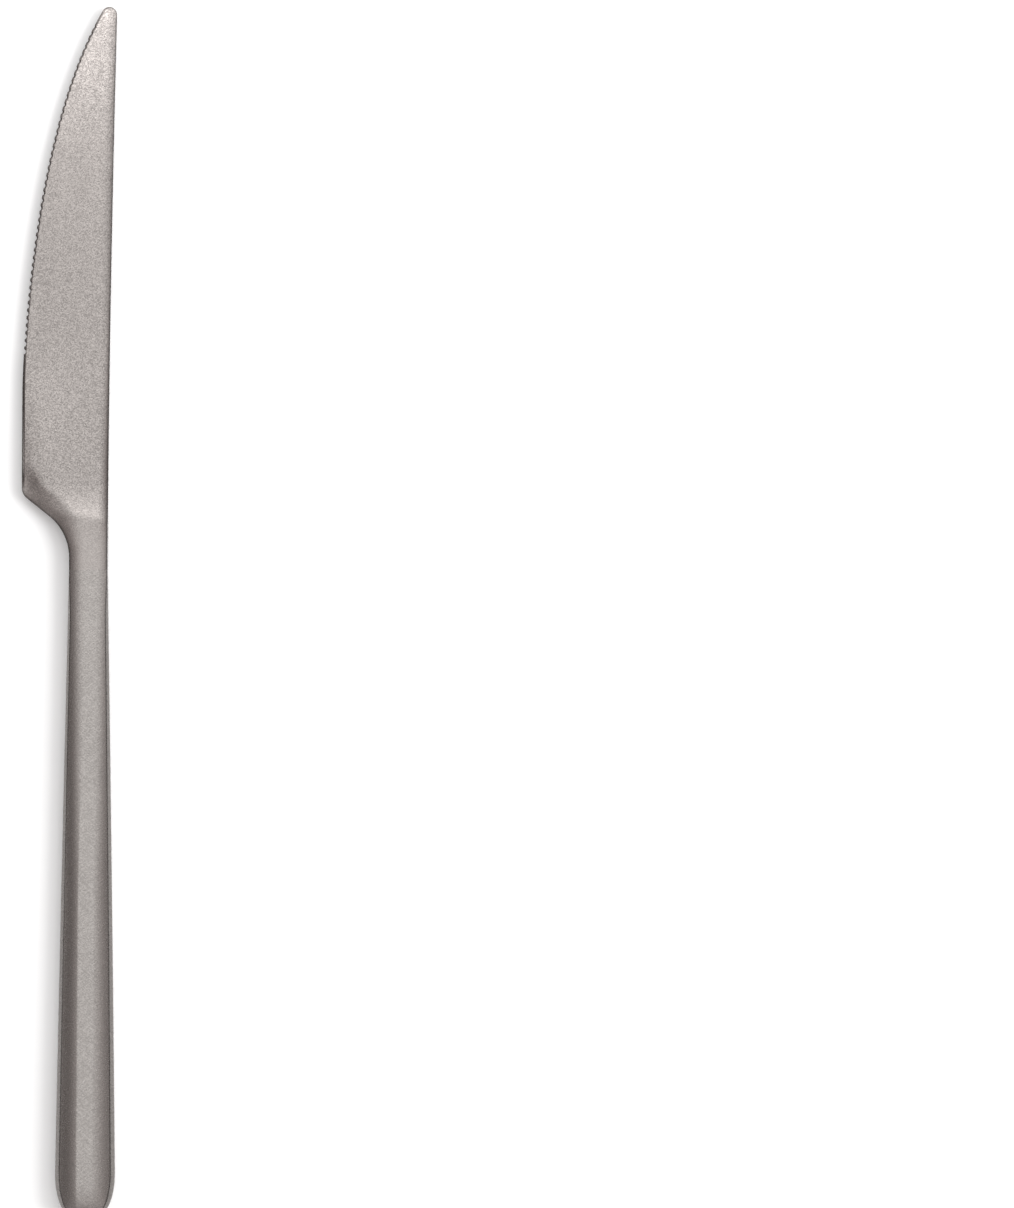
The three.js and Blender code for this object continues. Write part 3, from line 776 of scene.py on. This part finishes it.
def white_table():
    """White paper, a little brighter to the camera and in reflections, and plain white far away."""
    material = bpy.data.materials.new("white_table")
    material.use_nodes = True
    tree = material.node_tree
    tree.nodes.clear()
    path = node(tree, "ShaderNodeLightPath").outputs
    seen = sums(tree, "MAXIMUM", path["Is Camera Ray"], path["Is Glossy Ray"], path["Is Transmission Ray"])
    place = node(tree, "ShaderNodeTexCoord").outputs["Object"]
    away = node(tree, "ShaderNodeVectorMath", {0: place}, operation="LENGTH").outputs["Value"]
    far = sums(tree, "MULTIPLY", between(tree, away, *FAR_TABLE, 0, 1), path["Is Camera Ray"])
    strength = sums(tree, "ADD", sums(tree, "MULTIPLY", seen, GLOW), far)
    matt = node(tree, "ShaderNodeBsdfDiffuse", {"Color": (PAPER, PAPER, PAPER, 1)})
    shine = node(tree, "ShaderNodeEmission", {"Strength": strength})
    both = node(tree, "ShaderNodeAddShader", {0: matt.outputs[0], 1: shine.outputs[0]})
    node(tree, "ShaderNodeOutputMaterial", {"Surface": both.outputs[0]})
    return material


def floor():
    """The table that the knife lies on."""
    far = TABLE_HALF
    corners = [(-far, -far, 0), (far, -far, 0), (far, far, 0), (-far, far, 0)]
    data = bpy.data.meshes.new("table")
    data.from_pydata(corners, [], [(0, 1, 2, 3)])
    data.materials.append(white_table())
    made = bpy.data.objects.new("table", data)
    bpy.context.scene.collection.objects.link(made)


def lamp(name, place, target, size, power):
    """A lamp with a rectangular face, hidden from the camera."""
    light = bpy.data.lights.new(name, "AREA")
    light.shape = "RECTANGLE"
    light.size, light.size_y = size
    light.energy = power
    made = bpy.data.objects.new(name, light)
    made.location = place
    made.rotation_mode = "QUATERNION"
    made.rotation_quaternion = (Vector(target) - Vector(place)).to_track_quat("-Z", "Y")
    made.visible_camera = False
    bpy.context.scene.collection.objects.link(made)
    return made


def world():
    """A room with a wide bright ceiling, brightest beyond the tip, dim warm walls and bright end walls."""
    made = bpy.data.worlds.new("studio")
    made.use_nodes = True
    tree = made.node_tree
    place = node(tree, "ShaderNodeTexCoord").outputs["Generated"]
    x, y, z = node(tree, "ShaderNodeSeparateXYZ", {0: place}).outputs
    falls = []
    for side, ends in ((x, CEILING_ACROSS), (y, CEILING_ALONG)):
        angle = node(tree, "ShaderNodeMath", {0: side, 1: z}, operation="ARCTAN2").outputs[0]
        for (start, end), levels in ends:
            falls.append(between(tree, angle, math.radians(start), math.radians(end), *levels, smooth=True))
    ceiling = sums(tree, "MULTIPLY", *falls)
    sides = sums(tree, "ADD", sums(tree, "MULTIPLY", ceiling, 1 - DIM), DIM)
    endwise = node(tree, "ShaderNodeMath", {0: y}, operation="ABSOLUTE").outputs[0]
    spread = between(tree, endwise, *WALL_SPREAD, 0, BRIGHT, smooth=True)
    walls = sums(tree, "MULTIPLY", spread, between(tree, z, *WALL_TOP, 0, 1, smooth=True))
    seen = node(tree, "ShaderNodeLightPath").outputs["Is Camera Ray"]  # white behind the table
    level = sums(tree, "MAXIMUM", sides, walls, seen)
    back = tree.nodes["Background"]
    tree.links.new(level, back.inputs["Strength"])
    tree.links.new(mixed(tree, level, WARM, WHITE), back.inputs["Color"])
    bpy.context.scene.world = made


def camera():
    """Straight above the middle of the photograph, which lies to the right of the knife."""
    data = bpy.data.cameras.new("camera")
    data.lens = LENS
    data.sensor_width = SENSOR
    data.clip_end = CLIP_END
    made = bpy.data.objects.new("camera", data)
    x, y, z = in_frame([PHOTO_MIDDLE])[0]
    away = PHOTO_HEIGHT * PIXEL * MM * LENS / SENSOR
    made.location = (x, y, z + away)
    made.rotation_euler = (0, 0, PHOTO_TURN)
    bpy.context.scene.collection.objects.link(made)
    bpy.context.scene.camera = made


floor()
world()
camera()
lamp("side", *SIDE_LAMP).visible_glossy = False
lamp("upper_card", *UPPER_CARD).visible_diffuse = False
lamp("tip_card", *TIP_CARD).visible_diffuse = False
bpy.context.scene.view_settings.view_transform = "Standard"
